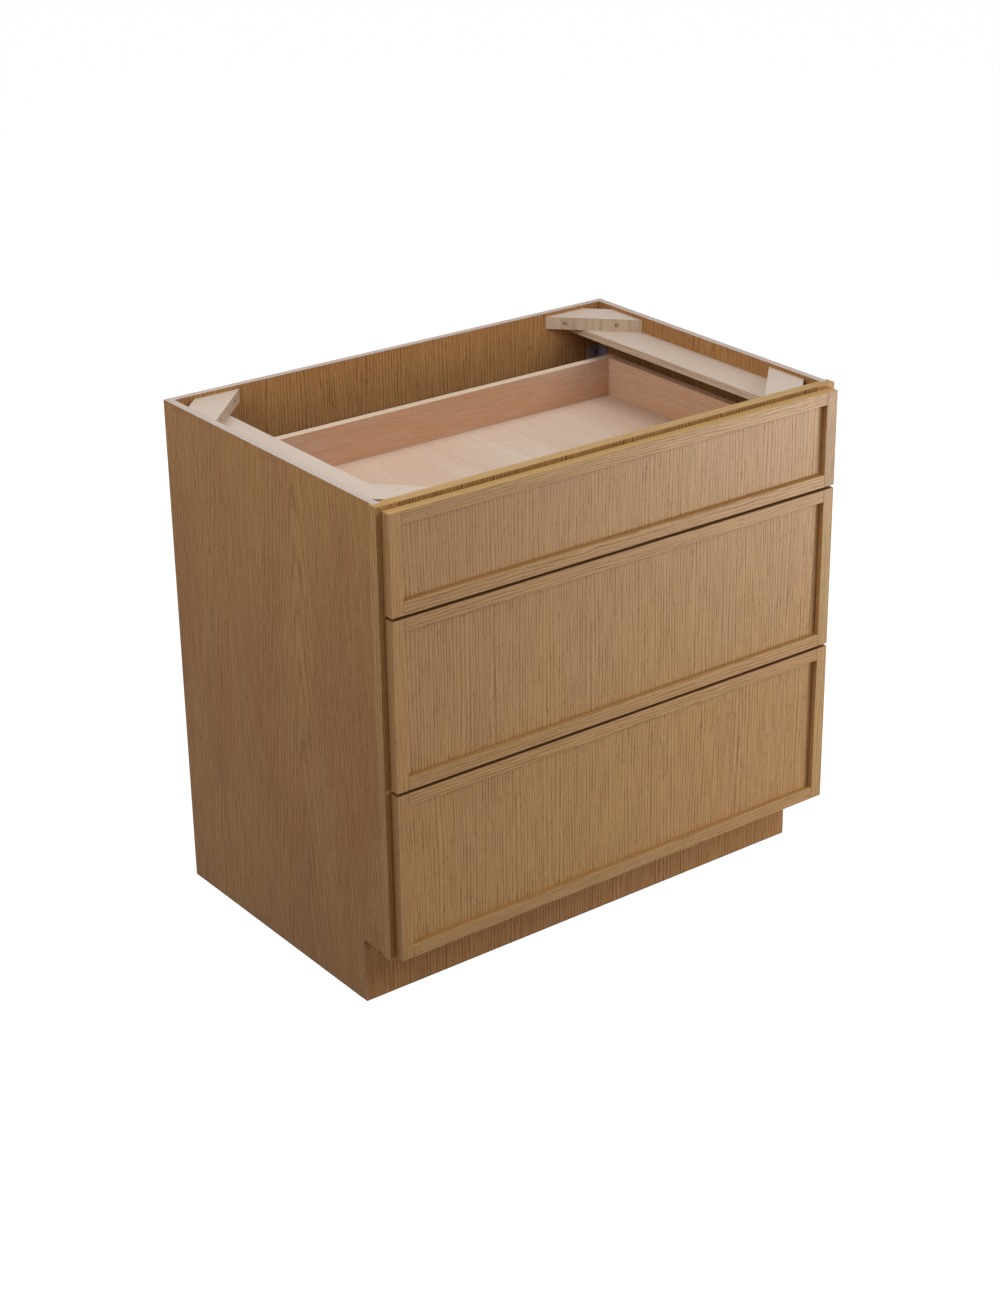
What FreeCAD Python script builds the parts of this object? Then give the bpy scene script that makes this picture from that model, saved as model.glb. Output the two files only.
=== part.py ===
"""Three-drawer base cabinet with a face frame, full-overlay slim-framed fronts and undermount runners.

Millimetres. +X is to the right, the fronts face -Y and +Z is up. The origin is on the floor, under the
middle of the whole depth, fronts included.
"""
import FreeCAD, Part
import math
import os

os.makedirs("parts", exist_ok=True)
Vector = FreeCAD.Vector

# ---------------------------------------------------------------- carcass
cabinet_width = 914.4
cabinet_height = 876.3
carcass_depth = 609.6          # front of the face frame to the outer face of the back
side_thickness = 12.7
back_thickness = 12.7
floor_thickness = 12.7         # the carcass bottom panel
toe_board_thickness = 12.7
toe_height = 114.3
toe_depth = 79.4               # face frame front to the toe board
side_inset = 4.0               # the sides stand in from the stiles' outer edges
side_rebate_depth = 6.35       # the side's front edge is let into the stile
back_rebate_depth = 6.35       # the back is let into the sides
floor_dado_depth = 6.35        # the bottom panel is let into the sides
joint_clearance = 0.1          # glue gap in every dado, rebate, groove and dovetail

# ---------------------------------------------------------------- face frame
frame_thickness = 19.05
stile_width = 38.1
top_rail_width = 38.1
mid_rail_width = 25.4
bottom_rail_width = 38.1

# ---------------------------------------------------------------- top corner blocks and side rails
block_leg = 122.0
block_clip = 37.0              # the blunted corner that clears the glue
block_thickness = 22.2
block_drop = 6.4               # below the cabinet's top edge
block_screw_stations = (0.2, 0.74)   # shares of the long face, from the back or frame end
side_rail_width = 72.4
side_rail_thickness = 12.7

# ---------------------------------------------------------------- drawer fronts
front_thickness = 18.0
front_gap = 0.5                # bumper gap behind the closed front
front_side_reveal = 9.5
front_top_reveal = 7.0
front_bottom_reveal = 4.76
front_spacing = 4.76
top_front_height = 166.0
middle_front_height = 285.5
front_member_width = 22.0      # stiles and rails of each front
front_recess = 9.4             # face of the frame to face of the panel
front_panel_lap = 8.0          # the panel's edge lies in a rebate behind the frame

# ---------------------------------------------------------------- drawer boxes
box_rear_space = 64.0          # rear of the boxes to the back panel
box_side_clearance = 4.76      # to the frame opening, each side
box_rail_clearance = 4.1       # box edge to the rail below it
box_headroom = 39.9            # box edge to the rail above it, for lifting it off its runners
rail_overlap = 2.0             # how far a middle rail stands up behind the front above
box_board_thickness = 15.9
box_bottom_thickness = 6.35
box_bottom_recess = 12.7       # box edge to the underside of its bottom
box_groove_depth = 6.35
dovetail_pitch = 29.0
dovetail_share = 0.62          # tail width at its root, as a share of the pitch
dovetail_slope = 1.0 / 8.0

# ---------------------------------------------------------------- runners, folded from steel sheet
runner_width = 44.0
runner_sheet = 1.2
runner_clearance = 0.5         # between the nested members
runner_side_clearance = 0.3    # drawer member to the box side
runner_seat_clearance = 0.3    # middle member's feet to the cabinet member
runner_rear_overhang = 20.0    # cabinet member past the rear of the box
runner_flange_gap = 1.8        # cabinet member's flange tops to the drawer member's web
drawer_flange_lift = 1.5       # drawer member's flange ends above the box edge
middle_setback = 2.0           # middle member behind the box front, at rest
middle_end_setback = 5.5       # middle member's end before the rear of the box
damper_diameter = 9.0
damper_length = 80.0

# ---------------------------------------------------------------- runner fixings
foot_tab_length = 40.0         # tab under the box side
foot_plate_width = 18.0
foot_plate_height = 36.0
bracket_plate_thickness = 2.0
bracket_plate_width = 26.0
bracket_plate_rise = 85.0      # plate top above the box edge
bracket_corner_radius = 5.0
bracket_arm_lap = 18.0         # arm under the end of the cabinet member
bracket_base_height = 30.0
bracket_return = 26.0          # the plate's leg along the side panel

# ---------------------------------------------------------------- locking clips and their levers
clip_width = 46.0
clip_length = 60.0
clip_height = 10.0
clip_roof = 2.0
lever_width = 8.0
lever_thickness = 6.0
lever_reach = 38.0
lever_clearance = 0.3
lever_pin_diameter = 3.0
lever_pin_head = 6.0
lever_swing = 10.0             # degrees

# ---------------------------------------------------------------- screws
screw_diameter = 4.0
screw_head_diameter = 6.6
screw_head_height = 2.4
screw_head_rounding = 1.0
screw_clearance = 0.1          # pilot hole to the shank, all round
block_pocket_diameter = 7.4
block_pocket_depth = 5.0       # the screw heads lie sunk in it
block_screw_bite = 8.0
plate_screw_bite = 10.0
front_screw_bite = 6.0
front_screw_spread = 250.0     # each side of the middle

# ---------------------------------------------------------------- places that follow
half_width = cabinet_width / 2
side_outer = half_width - side_inset
side_inner = side_outer - side_thickness
overall_depth = carcass_depth + front_gap + front_thickness
front_face_y = -overall_depth / 2
front_back_y = front_face_y + front_thickness
frame_y = front_back_y + front_gap
frame_back_y = frame_y + frame_thickness
rear_y = frame_y + carcass_depth
back_inner_y = rear_y - back_thickness
toe_y = frame_y + toe_depth
opening_half = half_width - stile_width

front_width = cabinet_width - 2 * front_side_reveal
front_top = cabinet_height - front_top_reveal
top_front_bottom = front_top - top_front_height
middle_front_top = top_front_bottom - front_spacing
middle_front_bottom = middle_front_top - middle_front_height
bottom_front_top = middle_front_bottom - front_spacing
bottom_front_bottom = toe_height + front_bottom_reveal

top_rail_bottom = cabinet_height - top_rail_width
upper_rail_top = top_front_bottom + rail_overlap
lower_rail_top = middle_front_bottom + rail_overlap
bottom_rail_top = toe_height + bottom_rail_width

box_half = opening_half - box_side_clearance
box_inner_half = box_half - box_board_thickness
box_front_y = front_back_y
box_rear_y = back_inner_y - box_rear_space
box_inner_front_y = box_front_y + box_board_thickness
box_inner_rear_y = box_rear_y - box_board_thickness

runner_outer_x = box_inner_half - runner_side_clearance
runner_inner_x = runner_outer_x - runner_width
block_top = cabinet_height - block_drop
side_rail_top = block_top - block_thickness


def block(x0, x1, y0, y1, z0, z1):
    """Rectangular solid between two corners."""
    return Part.makeBox(x1 - x0, y1 - y0, z1 - z0, Vector(x0, y0, z0))


def mirrored(shape):
    """The same piece on the other side of the cabinet."""
    return shape.mirror(Vector(0, 0, 0), Vector(1, 0, 0))


def prism(points, height):
    """Upright solid over a flat outline."""
    return Part.Face(Part.makePolygon(points + points[:1])).extrude(Vector(0, 0, height))


def rod(diameter, start, direction, length):
    """Round bar from a start point along a direction."""
    return Part.makeCylinder(diameter / 2, length, start, direction)


def save(name, solids):
    """Writes one node; several loose pieces go in as a group."""
    shape = solids[0] if len(solids) == 1 else Part.makeCompound(solids)
    shape.exportStep("parts/" + name + ".step")


class Screw:
    """A pan-head screw: its head sits on a seat point and its shank runs on along a direction."""

    def __init__(self, seat, direction, length):
        self.seat = seat
        self.direction = direction.normalize()
        self.length = length

    def solid(self):
        head_start = self.seat - self.direction * screw_head_height
        head = rod(screw_head_diameter, head_start, self.direction, screw_head_height)
        rim = [edge for edge in head.Edges if edge.CenterOfMass.distanceToPoint(head_start) < joint_clearance]
        head = head.makeFillet(screw_head_rounding, rim)
        return head.fuse(rod(screw_diameter, self.seat, self.direction, self.length)).removeSplitter()

    def hole(self):
        """Pilot hole for the shank."""
        return rod(screw_diameter + 2 * screw_clearance, self.seat, self.direction,
                   self.length + screw_clearance)


# ================================================================ corner blocks
class CornerBlock:
    """Triangular block in a top corner: side is +1 right or -1 left, end is +1 rear or -1 front."""

    def __init__(self, side, end):
        self.side = side
        self.end = end
        self.corner = Vector(side * side_inner, back_inner_y if end > 0 else frame_back_y, 0)
        self.bottom = block_top - block_thickness

    def point(self, along_x, along_y, z):
        return Vector(self.corner.x - self.side * along_x, self.corner.y - self.end * along_y, z)

    def screws(self):
        """One screw into the back or frame and one into the side, square to the long face."""
        direction = Vector(self.side, self.end, 0).normalize()
        middle_z = self.bottom + block_thickness / 2
        made = []
        for station in block_screw_stations:
            start = self.point(block_leg * (1 - station), block_leg * station, middle_z)
            reach = min(station, 1 - station) * block_leg * math.sqrt(2)
            seat = start + direction * block_pocket_depth
            made.append((start, Screw(seat, Vector(direction), reach - block_pocket_depth + block_screw_bite)))
        return made

    def solid(self):
        outline = [self.point(block_leg, 0, self.bottom), self.point(block_clip, 0, self.bottom),
                   self.point(0, block_clip, self.bottom), self.point(0, block_leg, self.bottom)]
        body = prism(outline, block_thickness)
        for start, screw in self.screws():
            pocket_start = start - screw.direction * block_pocket_diameter
            body = body.cut(rod(block_pocket_diameter, pocket_start, screw.direction,
                                block_pocket_depth + block_pocket_diameter))
            body = body.cut(screw.hole())
        return body


corner_blocks = {
    "corner_block_rear_right": CornerBlock(1, 1),
    "corner_block_rear_left": CornerBlock(-1, 1),
    "corner_block_front_right": CornerBlock(1, -1),
    "corner_block_front_left": CornerBlock(-1, -1),
}


# ================================================================ runners of one drawer, right-hand side
class Runner:
    """Three nested steel channels under one edge of a drawer, drawn for the right-hand side."""

    def __init__(self, box_z):
        self.box_z = box_z
        self.seat_z = box_z + box_bottom_recess
        self.feet_z = box_z - box_rail_clearance + 2 * runner_seat_clearance
        self.cabinet_z = self.feet_z - runner_seat_clearance - runner_sheet
        step = runner_sheet + runner_clearance
        self.cabinet_x = (runner_inner_x + step, runner_outer_x - step)
        self.middle_x = (runner_inner_x + 2 * step, runner_outer_x - 2 * step)
        self.arm_x = (self.cabinet_x[0], self.cabinet_x[1])
        self.cabinet_end_y = box_rear_y + runner_rear_overhang

    def drawer_member(self):
        y0 = box_inner_front_y + joint_clearance
        outer = block(runner_inner_x, runner_outer_x, y0, box_rear_y,
                      self.box_z + drawer_flange_lift, self.seat_z)
        inner = block(runner_inner_x + runner_sheet, runner_outer_x - runner_sheet, y0, box_rear_y,
                      self.box_z, self.seat_z - runner_sheet)
        return outer.cut(inner)

    def middle_member(self):
        x0, x1 = self.middle_x
        y0 = box_inner_front_y + middle_setback
        web_z = self.seat_z - runner_sheet - runner_clearance
        y1 = box_rear_y - middle_end_setback
        outer = block(x0, x1, y0, y1, self.feet_z, web_z)
        inner = block(x0 + runner_sheet, x1 - runner_sheet, y0, y1, self.feet_z, web_z - runner_sheet)
        return outer.cut(inner)

    def cabinet_member(self):
        """Upward channel, with the tab and plate that screw it to the back of the stile."""
        x0, x1 = self.cabinet_x
        top_z = self.seat_z - runner_sheet - runner_flange_gap
        floor_z = self.cabinet_z
        outer = block(x0, x1, frame_back_y, self.cabinet_end_y, floor_z, top_z)
        inner = block(x0 + runner_sheet, x1 - runner_sheet, frame_back_y, self.cabinet_end_y,
                      floor_z + runner_sheet, top_z)
        plate_x0 = opening_half + runner_clearance
        plate_x1 = plate_x0 + foot_plate_width
        tab = block(x1 - runner_sheet, plate_x1, frame_back_y, frame_back_y + foot_tab_length,
                    floor_z, floor_z + runner_sheet)
        plate = block(plate_x0, plate_x1, frame_back_y, frame_back_y + runner_sheet,
                      floor_z, floor_z + foot_plate_height)
        member = outer.cut(inner).fuse([tab, plate]).removeSplitter()
        for screw in self.foot_screws():
            member = member.cut(screw.hole())
        return member

    def damper(self):
        """Soft-closing cylinder clipped against the inner flange of the cabinet member."""
        centre = Vector(self.cabinet_x[0] - damper_diameter / 2 - joint_clearance - runner_sheet,
                        self.cabinet_end_y - damper_length, self.cabinet_z)
        saddle_x0 = centre.x - damper_diameter / 2
        centre.z = self.box_z - damper_diameter / 2 - runner_seat_clearance
        saddle = block(saddle_x0, self.cabinet_x[0], centre.y, centre.y + damper_length,
                       centre.z, self.box_z - 2 * runner_seat_clearance)
        return rod(damper_diameter, centre, Vector(0, 1, 0), damper_length).fuse(saddle)

    def foot_screws(self):
        x = opening_half + runner_clearance + foot_plate_width / 2
        seat_y = frame_back_y + runner_sheet
        return [Screw(Vector(x, seat_y, self.cabinet_z + share * foot_plate_height),
                      Vector(0, -1, 0), plate_screw_bite) for share in (0.35, 0.8)]

    def bracket(self):
        """Rear bracket on the back panel: an arm under the cabinet member and a tall plate."""
        x0, x1 = self.arm_x
        face_y = back_inner_y - bracket_plate_thickness
        top_z = self.box_z + bracket_plate_rise
        floor_z = self.cabinet_z - bracket_plate_thickness
        plate_x0 = side_inner - bracket_plate_width
        arm = block(x0, x1, self.cabinet_end_y - bracket_arm_lap, back_inner_y, floor_z, self.cabinet_z)
        base = block(x0, side_inner, face_y, back_inner_y, floor_z, floor_z + bracket_base_height)
        plate = block(plate_x0, side_inner, face_y, back_inner_y, floor_z, top_z)
        upright_edges = [edge for edge in plate.Edges
                         if abs(edge.CenterOfMass.x - plate_x0) < joint_clearance
                         and abs(edge.CenterOfMass.z - top_z) < joint_clearance]
        plate = plate.makeFillet(bracket_corner_radius, upright_edges)
        leg = block(side_inner - bracket_plate_thickness, side_inner, back_inner_y - bracket_return,
                    back_inner_y, floor_z, top_z)
        solid = arm.fuse([base, plate, leg]).removeSplitter()
        for screw in self.bracket_screws():
            solid = solid.cut(screw.hole())
        return solid

    def bracket_screws(self):
        seat_y = back_inner_y - bracket_plate_thickness
        upper = Vector(side_inner - 0.4 * bracket_plate_width, seat_y,
                       self.box_z + bracket_plate_rise - 2 * bracket_corner_radius)
        lower = Vector((self.arm_x[0] + self.arm_x[1]) / 2, seat_y,
                       self.cabinet_z + 0.6 * bracket_base_height)
        return [Screw(place, Vector(0, 1, 0), plate_screw_bite) for place in (upper, lower)]

    def clip(self):
        """Locking clip under the box bottom, with the pin that its lever turns on."""
        x0, x1 = runner_inner_x - clip_width, runner_inner_x
        y0 = box_inner_front_y
        pivot = self.pivot()
        swing = lever_reach * math.sin(math.radians(lever_swing))
        body = block(x0, x1, y0, y0 + clip_length, self.seat_z - clip_height, self.seat_z)
        pocket_top = self.seat_z - clip_roof
        pocket = block(pivot.x - lever_width - swing, pivot.x + lever_width / 2 + lever_clearance,
                       y0, pivot.y + lever_width, self.seat_z - clip_height, pocket_top)
        pin = rod(lever_pin_diameter, Vector(pivot.x, pivot.y, pocket_top), Vector(0, 0, -1),
                  lever_clearance + lever_thickness + lever_clearance)
        head_top = pocket_top - 2 * lever_clearance - lever_thickness
        head = rod(lever_pin_head, Vector(pivot.x, pivot.y, head_top), Vector(0, 0, -1),
                   head_top - (self.seat_z - clip_height))
        return body.cut(pocket).fuse([pin, head])

    def pivot(self):
        return Vector(runner_inner_x - clip_width / 3, box_inner_front_y + clip_length - 2 * lever_width, 0)

    def lever(self):
        """Release lever: a hub on the clip's pin and an arm towards the front."""
        pivot = self.pivot()
        top_z = self.seat_z - clip_roof - lever_clearance
        low_z = top_z - lever_thickness
        hub = rod(lever_width, Vector(pivot.x, pivot.y, low_z), Vector(0, 0, 1), lever_thickness)
        arm = block(pivot.x - lever_width / 2, pivot.x + lever_width / 2, pivot.y - lever_reach, pivot.y,
                    low_z, top_z)
        bore = rod(lever_pin_diameter + 2 * lever_clearance, Vector(pivot.x, pivot.y, low_z),
                   Vector(0, 0, 1), lever_thickness)
        return hub.fuse(arm).cut(bore).removeSplitter()


# ================================================================ one drawer box
class DrawerBox:
    """Dovetailed box with a grooved-in bottom, drawn at rest."""

    def __init__(self, z0, z1):
        self.z0 = z0
        self.z1 = z1
        self.height = z1 - z0

    def tails(self, end_y, inward, grow):
        """The side's tails at one end: wide at the end, narrow at the root.

        At the rear the lowest tail runs on to the lower edge, because the back is notched there.
        """
        count = max(2, round(self.height / dovetail_pitch))
        pitch = self.height / count
        root_half = dovetail_share * pitch / 2 + grow
        tip_half = root_half + box_board_thickness * dovetail_slope
        root_y = end_y + inward * box_board_thickness
        made = []
        for index in range(count):
            middle = self.z0 + (index + 0.5) * pitch
            lowest_at_rear = index == 0 and inward < 0
            tip_low = self.z0 - grow if lowest_at_rear else middle - tip_half
            root_low = self.z0 - grow if lowest_at_rear else middle - root_half
            corners = [Vector(box_inner_half, end_y, tip_low),
                       Vector(box_inner_half, root_y, root_low),
                       Vector(box_inner_half, root_y, middle + root_half),
                       Vector(box_inner_half, end_y, middle + tip_half)]
            face = Part.Face(Part.makePolygon(corners + corners[:1]))
            made.append(face.extrude(Vector(box_board_thickness, 0, 0)))
        return made

    def groove(self):
        reach = box_groove_depth + joint_clearance
        seat = self.z0 + box_bottom_recess
        return block(-box_inner_half - reach, box_inner_half + reach,
                     box_inner_front_y - reach, box_inner_rear_y + reach,
                     seat, seat + box_bottom_thickness + joint_clearance)

    def right_side(self):
        board = block(box_inner_half, box_half, box_inner_front_y, box_inner_rear_y, self.z0, self.z1)
        heel = block(box_inner_half, box_half, box_inner_rear_y, box_rear_y,
                     self.z0, self.z0 + box_bottom_recess - joint_clearance)
        tails = self.tails(box_front_y, 1, 0) + self.tails(box_rear_y, -1, 0)
        return board.fuse([heel] + tails).cut(self.groove()).removeSplitter()

    def cross_board(self, end_y, inward):
        """Front or back board of the box, with pins between the sides' tails."""
        inner_y = end_y + inward * box_board_thickness
        y0, y1 = min(end_y, inner_y), max(end_y, inner_y)
        tails = self.tails(end_y, inward, joint_clearance)
        board = block(-box_half, box_half, y0, y1, self.z0, self.z1)
        return board.cut(tails + [mirrored(tail) for tail in tails]).cut(self.groove())

    def front(self, screws):
        board = self.cross_board(box_front_y, 1)
        return board.cut([screw.hole() for screw in screws])

    def back(self):
        """The back board is notched at both ends for the runners."""
        notch = block(runner_inner_x - runner_clearance, box_half, box_inner_rear_y, box_rear_y,
                      self.z0, self.z0 + box_bottom_recess)
        return self.cross_board(box_rear_y, -1).cut([notch, mirrored(notch)])

    def bottom(self):
        seat = self.z0 + box_bottom_recess
        return block(-box_inner_half - box_groove_depth, box_inner_half + box_groove_depth,
                     box_inner_front_y - box_groove_depth, box_inner_rear_y + box_groove_depth,
                     seat, seat + box_bottom_thickness)

    def front_screws(self):
        """Screws from inside the box into the drawer front."""
        length = box_board_thickness + front_screw_bite
        return [Screw(Vector(x, box_inner_front_y, self.z0 + share * self.height), Vector(0, -1, 0), length)
                for x in (-front_screw_spread, front_screw_spread) for share in (0.45, 0.8)]


# ================================================================ one drawer front
class DrawerFront:
    """Slim frame of two stiles and two rails, with a flat panel set in from behind."""

    def __init__(self, z0, z1):
        self.z0 = z0
        self.z1 = z1
        self.half = front_width / 2

    def panel_space(self, grow):
        edge = front_member_width - front_panel_lap - grow
        return block(-self.half + edge, self.half - edge, front_face_y + front_recess, front_back_y,
                     self.z0 + edge, self.z1 - edge)

    def panel(self, screws):
        return self.panel_space(0).cut([screw.hole() for screw in screws])

    def members(self, screws):
        inner = self.half - front_member_width
        rail_half = inner - joint_clearance
        boards = [block(inner, self.half, front_face_y, front_back_y, self.z0, self.z1),
                  block(-self.half, -inner, front_face_y, front_back_y, self.z0, self.z1),
                  block(-rail_half, rail_half, front_face_y, front_back_y,
                        self.z1 - front_member_width, self.z1),
                  block(-rail_half, rail_half, front_face_y, front_back_y,
                        self.z0, self.z0 + front_member_width)]
        rebate = self.panel_space(joint_clearance)
        return [board.cut(rebate).cut([screw.hole() for screw in screws]) for board in boards]


# ================================================================ drawers
drawers = [
    ("top", DrawerFront(top_front_bottom, front_top), upper_rail_top, top_rail_bottom),
    ("middle", DrawerFront(middle_front_bottom, middle_front_top), lower_rail_top,
     upper_rail_top - mid_rail_width),
    ("bottom", DrawerFront(bottom_front_bottom, bottom_front_top), bottom_rail_top,
     lower_rail_top - mid_rail_width),
]
runners = []

for name, front, rail_below, rail_above in drawers:
    box = DrawerBox(rail_below + box_rail_clearance, rail_above - box_headroom)
    runner = Runner(box.z0)
    runners.append(runner)
    screws = box.front_screws()
    save(name + "_front_panel", [front.panel(screws)])
    save(name + "_front_frame", front.members(screws))
    save(name + "_box_side_right", [box.right_side()])
    save(name + "_box_side_left", [mirrored(box.right_side())])
    save(name + "_box_front", [box.front(screws)])
    save(name + "_box_back", [box.back()])
    save(name + "_box_bottom", [box.bottom()])
    save(name + "_front_screws", [screw.solid() for screw in screws])
    save(name + "_drawer_runners", [runner.drawer_member(), mirrored(runner.drawer_member())])
    save(name + "_middle_runners", [runner.middle_member(), mirrored(runner.middle_member())])
    save(name + "_locking_clips", [runner.clip(), mirrored(runner.clip())])
    save(name + "_lever_right", [runner.lever()])
    save(name + "_lever_left", [mirrored(runner.lever())])

# ================================================================ runner fixings in the carcass
cabinet_runners = [runner.cabinet_member() for runner in runners] + [runner.damper() for runner in runners]
rear_brackets = [runner.bracket() for runner in runners]
foot_screws = [screw for runner in runners for screw in runner.foot_screws()]
bracket_screws = [screw for runner in runners for screw in runner.bracket_screws()]
block_screws = [screw for corner in corner_blocks.values() for _, screw in corner.screws()]
save("cabinet_runners_right", cabinet_runners)
save("cabinet_runners_left", [mirrored(piece) for piece in cabinet_runners])
save("rear_brackets", rear_brackets + [mirrored(piece) for piece in rear_brackets])
plate_screws = [screw.solid() for screw in foot_screws + bracket_screws]
save("carcass_screws", plate_screws + [mirrored(piece) for piece in plate_screws]
     + [screw.solid() for screw in block_screws])
block_holes = [screw.hole() for screw in block_screws]
foot_holes = [screw.hole() for screw in foot_screws]
bracket_holes = [screw.hole() for screw in bracket_screws]

# ================================================================ carcass
carcass_floor = block(-side_inner - floor_dado_depth, side_inner + floor_dado_depth, frame_back_y,
                      back_inner_y, toe_height, toe_height + floor_thickness)
floor_dado = block(-side_inner - floor_dado_depth - joint_clearance,
                   side_inner + floor_dado_depth + joint_clearance, frame_back_y - joint_clearance,
                   rear_y, toe_height, toe_height + floor_thickness + joint_clearance)
back_half = side_inner + back_rebate_depth
side_front_y = frame_back_y - side_rebate_depth


def side_panel():
    """Right-hand side: notched for the toe space, rebated for the back and grooved for the floor."""
    board = block(side_inner, side_outer, side_front_y, rear_y, 0, cabinet_height)
    toe_notch = block(side_inner, side_outer, side_front_y, toe_y + toe_board_thickness, 0, toe_height)
    back_rebate = block(side_inner, back_half + joint_clearance, back_inner_y, rear_y, 0, cabinet_height)
    return board.cut([toe_notch, back_rebate, floor_dado] + block_holes)


def frame_stile():
    """Right-hand stile, rebated behind for the front edge of the side."""
    board = block(opening_half, half_width, frame_y, frame_back_y, toe_height, cabinet_height)
    rebate = block(side_inner - joint_clearance, side_outer + joint_clearance,
                   side_front_y - joint_clearance, frame_back_y, toe_height, cabinet_height)
    return board.cut([rebate] + foot_holes + block_holes)


def frame_rail(top_z, rail_width, holes):
    """Rail of the face frame, between the stiles."""
    board = block(-opening_half, opening_half, frame_y, frame_back_y, top_z - rail_width, top_z)
    return board.cut(holes) if holes else board


def side_rail():
    """Right-hand flat rail under the corner blocks, from the face frame to the back."""
    return block(side_inner - side_rail_width, side_inner, frame_back_y, back_inner_y,
                 side_rail_top - side_rail_thickness, side_rail_top)


back_board = block(-back_half, back_half, back_inner_y, rear_y, 0, cabinet_height)
back_board = back_board.cut(bracket_holes + [mirrored(hole) for hole in bracket_holes] + block_holes)
save("side_panel_right", [side_panel()])
save("side_panel_left", [mirrored(side_panel())])
save("back_panel", [back_board])
save("bottom_panel", [carcass_floor])
save("toe_kick", [block(-side_outer, side_outer, toe_y, toe_y + toe_board_thickness, 0, toe_height)])
save("stile_right", [frame_stile()])
save("stile_left", [mirrored(frame_stile())])
save("top_rail", [frame_rail(cabinet_height, top_rail_width, block_holes)])
save("upper_mid_rail", [frame_rail(upper_rail_top, mid_rail_width, [])])
save("lower_mid_rail", [frame_rail(lower_rail_top, mid_rail_width, [])])
save("bottom_rail", [frame_rail(bottom_rail_top, bottom_rail_width, [])])
save("side_rail_right", [side_rail()])
save("side_rail_left", [mirrored(side_rail())])
for name, corner in corner_blocks.items():
    save(name, [corner.solid()])
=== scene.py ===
# %% [markdown]
# # A three-drawer base cabinet, finished in Blender
#
# The solids of this cabinet come from a CAD program and are loaded as a fixed frame. This lesson
# gives them their looks: oak veneer that runs the right way on each board, the layered edges of
# plywood, pale corner blocks, reddish drawer boxes, zinc-plated steel and moulded plastic. The
# camera comes first. The small clear bumpers, the floor and the lamps come last.

# %% Start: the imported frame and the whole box
import math

import bmesh
import bpy
from mathutils import Matrix, Vector


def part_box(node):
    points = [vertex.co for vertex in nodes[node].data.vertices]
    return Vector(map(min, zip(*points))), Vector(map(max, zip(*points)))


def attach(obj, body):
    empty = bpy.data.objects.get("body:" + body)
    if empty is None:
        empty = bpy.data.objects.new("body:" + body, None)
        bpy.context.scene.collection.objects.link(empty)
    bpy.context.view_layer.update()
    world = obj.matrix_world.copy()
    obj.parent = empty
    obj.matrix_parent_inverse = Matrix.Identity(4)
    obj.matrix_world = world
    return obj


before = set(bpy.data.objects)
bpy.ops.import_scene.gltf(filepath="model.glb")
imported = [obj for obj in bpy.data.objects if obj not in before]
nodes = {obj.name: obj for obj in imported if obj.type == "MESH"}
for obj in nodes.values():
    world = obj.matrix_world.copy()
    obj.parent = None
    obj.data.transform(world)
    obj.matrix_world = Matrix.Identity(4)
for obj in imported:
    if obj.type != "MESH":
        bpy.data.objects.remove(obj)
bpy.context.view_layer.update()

# %% [markdown]
# ## The camera
#
# The picture was taken from the front left and from above, with a long lens. A camera was fitted
# to the cabinet's straight edges, so its place, its turn and its lens are known. The sensor's
# width lies along the longer side of the picture. The small shift is there because the cabinet
# isn't in the middle of the frame.

# %% Camera
camera_data = bpy.data.cameras.new("studio_camera")
camera_data.sensor_width = 36.0
camera_data.lens = 70.69
camera_data.shift_x = -0.0680
camera_data.shift_y = -0.0060
camera_data.clip_end = 60.0
camera = bpy.data.objects.new("studio_camera", camera_data)
camera.location = (-2.36920, -3.16801, 2.22125)
camera.rotation_euler = [math.radians(angle) for angle in (65.6235, -0.0943, -38.7301)]
bpy.context.scene.collection.objects.link(camera)
bpy.context.scene.camera = camera
print("camera at", tuple(camera.location), "lens", camera_data.lens)

# %% [markdown]
# ## Helpers for shader nodes
#
# Every finish below is a small network of nodes. One helper writes a colour that was picked on
# screen as the linear light that a shader needs, and one adds a node and fills its sockets. The
# others each stand for a step that comes back in every finish.


# %% Helpers: colours and nodes
def paint(red, green, blue):
    """A screen colour from 0 to 255 as linear red, green, blue and alpha."""
    channels = []
    for value in (red, green, blue):
        value = value / 255
        channels.append(value / 12.92 if value <= 0.04045 else ((value + 0.055) / 1.055) ** 2.4)
    return (*channels, 1.0)


def add(tree, kind, settings=None, **sockets):
    """Adds a node, sets its properties, and sets or links its sockets.

    A socket goes by its name, with _ for a space, or by its place: i0 is the first one.
    """
    made = tree.nodes.new("ShaderNode" + kind)
    for name, value in (settings or {}).items():
        setattr(made, name, value)
    for name, value in sockets.items():
        by_place = name[0] == "i" and name[1:].isdigit()
        socket = made.inputs[int(name[1:]) if by_place else name.replace("_", " ")]
        if isinstance(value, bpy.types.NodeSocket):
            tree.links.new(value, socket)
        else:
            socket.default_value = value
    return made


def maths(tree, operation, first, second=0.0, clamp=False):
    """One step of arithmetic on values that change over the surface."""
    settings = {"operation": operation, "use_clamp": clamp}
    return add(tree, "Math", settings, i0=first, i1=second).outputs[0]


def times(tree, first, second):
    """Two values multiplied."""
    return maths(tree, "MULTIPLY", first, second)


def plus(tree, first, second):
    """Two values added."""
    return maths(tree, "ADD", first, second)


def minus(tree, first, second):
    """The second value taken from the first."""
    return maths(tree, "SUBTRACT", first, second)


def blend_values(tree, share, first, second):
    """Mixes two values by a share."""
    return add(tree, "Mix", {"data_type": "FLOAT"}, i0=share, i2=first, i3=second).outputs[0]


def blend_colours(tree, share, first, second, how="MIX"):
    """Mixes two colours by a share."""
    settings = {"data_type": "RGBA", "blend_type": how}
    return add(tree, "Mix", settings, i0=share, i6=first, i7=second).outputs[2]


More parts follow.
